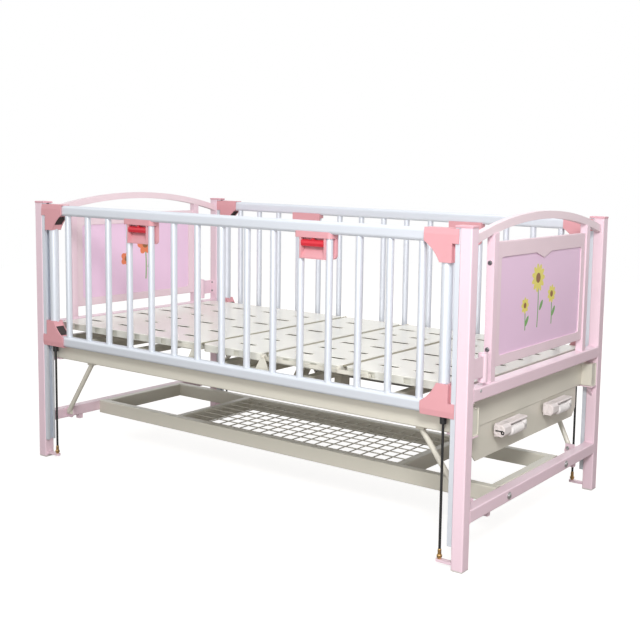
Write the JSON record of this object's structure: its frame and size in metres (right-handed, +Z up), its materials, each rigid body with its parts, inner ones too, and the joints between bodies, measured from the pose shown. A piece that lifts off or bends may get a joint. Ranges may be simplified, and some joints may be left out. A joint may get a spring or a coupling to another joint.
{
  "type": "pediatric hospital cot",
  "caption": "Children's hospital cot with barred drop sides, arched end frames, a sectioned slatted deck and two folding foot cranks.",
  "frame": {"origin": "on the floor, midway along and across the whole cot", "axes": "+X from the head end to the foot end, where the cranks are; +Y from the right rail to the left rail; +Z up"},
  "size_m": [1.887, 0.963, 1.006],
  "materials": {
    "pink_frame": "satin",
    "cream_frame": "satin",
    "deck_paint": "satin",
    "rail_silver": "satin",
    "pink_plastic": "satin",
    "ivory_plastic": "satin",
    "mauve_board": "satin",
    "lever_red": "satin",
    "steel": "satin",
    "rod_black": "satin",
    "brass": "satin",
    "crank_plastic": "satin",
    "grey_plastic": "satin",
    "rubber": "satin",
    "arch_paint": "satin"
  },
  "bodies": {
    "cot": {"head_end_frame": "pink_frame", "foot_end_frame": "pink_frame", "head_arch": "arch_paint", "foot_arch": "arch_paint", "head_panel_frame": "ivory_plastic", "foot_panel_frame": "ivory_plastic", "head_panel_insert": "mauve_board", "foot_panel_insert": "mauve_board", "accessory_sockets": "pink_frame", "panel_screws": "steel", "post_caps": "pink_plastic", "leg_glides": "ivory_plastic", "slide_guides": "rail_silver", "gas_rods": "rod_black", "rod_ball_ends": "brass", "bed_side_rails": "cream_frame", "bed_head_rail": "cream_frame", "bed_cross_members": "cream_frame", "rest_buffers": "rubber", "crank_plate": "cream_frame", "screw_bearings": "cream_frame", "hinge_posts": "cream_frame", "seat_deck": "deck_paint", "base_frame": "cream_frame", "mesh_shelf": "steel", "braces": "cream_frame", "frame_bolts": "steel"},
    "back_section": {"back_deck": "deck_paint", "back_underframe": "cream_frame"},
    "thigh_section": {"thigh_deck": "deck_paint", "thigh_underframe": "cream_frame"},
    "calf_section": {"calf_deck": "deck_paint", "calf_underframe": "cream_frame", "calf_glides": "grey_plastic"},
    "back_tube": {"back_push_tube": "steel"},
    "knee_tube": {"knee_pull_tube": "steel"},
    "back_crank": {"back_crank_screw": "steel", "back_crank_arm": "crank_plastic"},
    "knee_crank": {"knee_crank_screw": "steel", "knee_crank_arm": "crank_plastic"},
    "back_grip": {"back_crank_grip": "crank_plastic"},
    "knee_grip": {"knee_crank_grip": "crank_plastic"},
    "right_rail": {"right_rail_frame": "rail_silver", "right_rail_bars": "rail_silver", "right_rail_corners": "pink_plastic", "right_latch_housings": "pink_plastic", "right_gas_cylinders": "rod_black"},
    "right_head_bolt": {"right_head_latch_bolt": "steel"},
    "right_head_lever": {"right_head_latch_lever": "lever_red"},
    "right_foot_bolt": {"right_foot_latch_bolt": "steel"},
    "right_foot_lever": {"right_foot_latch_lever": "lever_red"},
    "left_rail": {"left_rail_frame": "rail_silver", "left_rail_bars": "rail_silver", "left_rail_corners": "pink_plastic", "left_latch_housings": "pink_plastic", "left_gas_cylinders": "rod_black"},
    "left_head_bolt": {"left_head_latch_bolt": "steel"},
    "left_head_lever": {"left_head_latch_lever": "lever_red"},
    "left_foot_bolt": {"left_foot_latch_bolt": "steel"},
    "left_foot_lever": {"left_foot_latch_lever": "lever_red"}
  },
  "joints": [
    {"name": "back_lift", "type": "hinge", "parent": "cot", "child": "back_section", "pos_m": [-0.158, 0, 0.513], "axis": [0, 1, 0], "range_deg": [0, 70]},
    {"name": "knee_lift", "type": "hinge", "parent": "cot", "child": "thigh_section", "pos_m": [0.147, 0, 0.513], "axis": [0, -1, 0], "range_deg": [0, 35]},
    {"name": "calf_fold", "type": "hinge", "parent": "thigh_section", "child": "calf_section", "pos_m": [0.447, 0, 0.513], "axis": [0, 1, 0], "range_deg": [0, 60]},
    {"name": "back_tube_slide", "type": "slide", "parent": "cot", "child": "back_tube", "axis": [-1, 0, 0], "range_m": [0, 0.2148]},
    {"name": "knee_tube_slide", "type": "slide", "parent": "cot", "child": "knee_tube", "axis": [1, 0, 0], "range_m": [0, 0.097]},
    {"name": "back_crank_turn", "type": "hinge", "parent": "cot", "child": "back_crank", "pos_m": [0.9, 0.133, 0.36], "axis": [1, 0, 0], "range_deg": [0, 3961]},
    {"name": "knee_crank_turn", "type": "hinge", "parent": "cot", "child": "knee_crank", "pos_m": [0.9, -0.201, 0.36], "axis": [1, 0, 0], "range_deg": [0, 1801]},
    {"name": "back_grip_fold", "type": "hinge", "parent": "back_crank", "child": "back_grip", "pos_m": [0.9205, 0.236, 0.354], "axis": [0, 0, 1], "range_deg": [0, 90]},
    {"name": "knee_grip_fold", "type": "hinge", "parent": "knee_crank", "child": "knee_grip", "pos_m": [0.9205, -0.098, 0.354], "axis": [0, 0, 1], "range_deg": [0, 90]},
    {"name": "right_rail_drop", "type": "slide", "parent": "cot", "child": "right_rail", "axis": [0, 0, -1], "range_m": [0, 0.35], "stiffness_N_per_m": 100, "springref_m": -1.1},
    {"name": "right_head_bolt_draw", "type": "slide", "parent": "right_rail", "child": "right_head_bolt", "axis": [1, 0, 0], "range_m": [0, 0.01], "stiffness_N_per_m": 400, "springref_m": -0.004},
    {"name": "right_head_lever_pull", "type": "hinge", "parent": "right_rail", "child": "right_head_lever", "pos_m": [-0.385, -0.4685, 0.903], "axis": [-1, 0, 0], "range_deg": [0, 18.1]},
    {"name": "right_foot_bolt_draw", "type": "slide", "parent": "right_rail", "child": "right_foot_bolt", "axis": [-1, 0, 0], "range_m": [0, 0.01], "stiffness_N_per_m": 400, "springref_m": -0.004},
    {"name": "right_foot_lever_pull", "type": "hinge", "parent": "right_rail", "child": "right_foot_lever", "pos_m": [0.385, -0.4685, 0.903], "axis": [-1, 0, 0], "range_deg": [0, 18.1]},
    {"name": "left_rail_drop", "type": "slide", "parent": "cot", "child": "left_rail", "axis": [0, 0, -1], "range_m": [0, 0.35], "stiffness_N_per_m": 100, "springref_m": -1.1},
    {"name": "left_head_bolt_draw", "type": "slide", "parent": "left_rail", "child": "left_head_bolt", "axis": [1, 0, 0], "range_m": [0, 0.01], "stiffness_N_per_m": 400, "springref_m": -0.004},
    {"name": "left_head_lever_pull", "type": "hinge", "parent": "left_rail", "child": "left_head_lever", "pos_m": [-0.385, 0.4685, 0.903], "axis": [1, 0, 0], "range_deg": [0, 18.1]},
    {"name": "left_foot_bolt_draw", "type": "slide", "parent": "left_rail", "child": "left_foot_bolt", "axis": [-1, 0, 0], "range_m": [0, 0.01], "stiffness_N_per_m": 400, "springref_m": -0.004},
    {"name": "left_foot_lever_pull", "type": "hinge", "parent": "left_rail", "child": "left_foot_lever", "pos_m": [0.385, 0.4685, 0.903], "axis": [1, 0, 0], "range_deg": [0, 18.1]}
  ],
  "couplings": [
    {"joint": "calf_fold", "follows": "knee_lift", "ratio": 1.705},
    {"joint": "back_tube_slide", "follows": "back_lift", "m_per_rad": 0.17538},
    {"joint": "back_crank_turn", "follows": "back_lift", "ratio": 56.571},
    {"joint": "knee_tube_slide", "follows": "knee_lift", "m_per_rad": 0.15794},
    {"joint": "knee_crank_turn", "follows": "knee_lift", "ratio": 51.429},
    {"joint": "right_head_lever_pull", "follows": "right_head_bolt_draw", "rad_per_m": 31.4},
    {"joint": "right_foot_lever_pull", "follows": "right_foot_bolt_draw", "rad_per_m": 31.4},
    {"joint": "left_head_lever_pull", "follows": "left_head_bolt_draw", "rad_per_m": 31.4},
    {"joint": "left_foot_lever_pull", "follows": "left_foot_bolt_draw", "rad_per_m": 31.4}
  ]
}
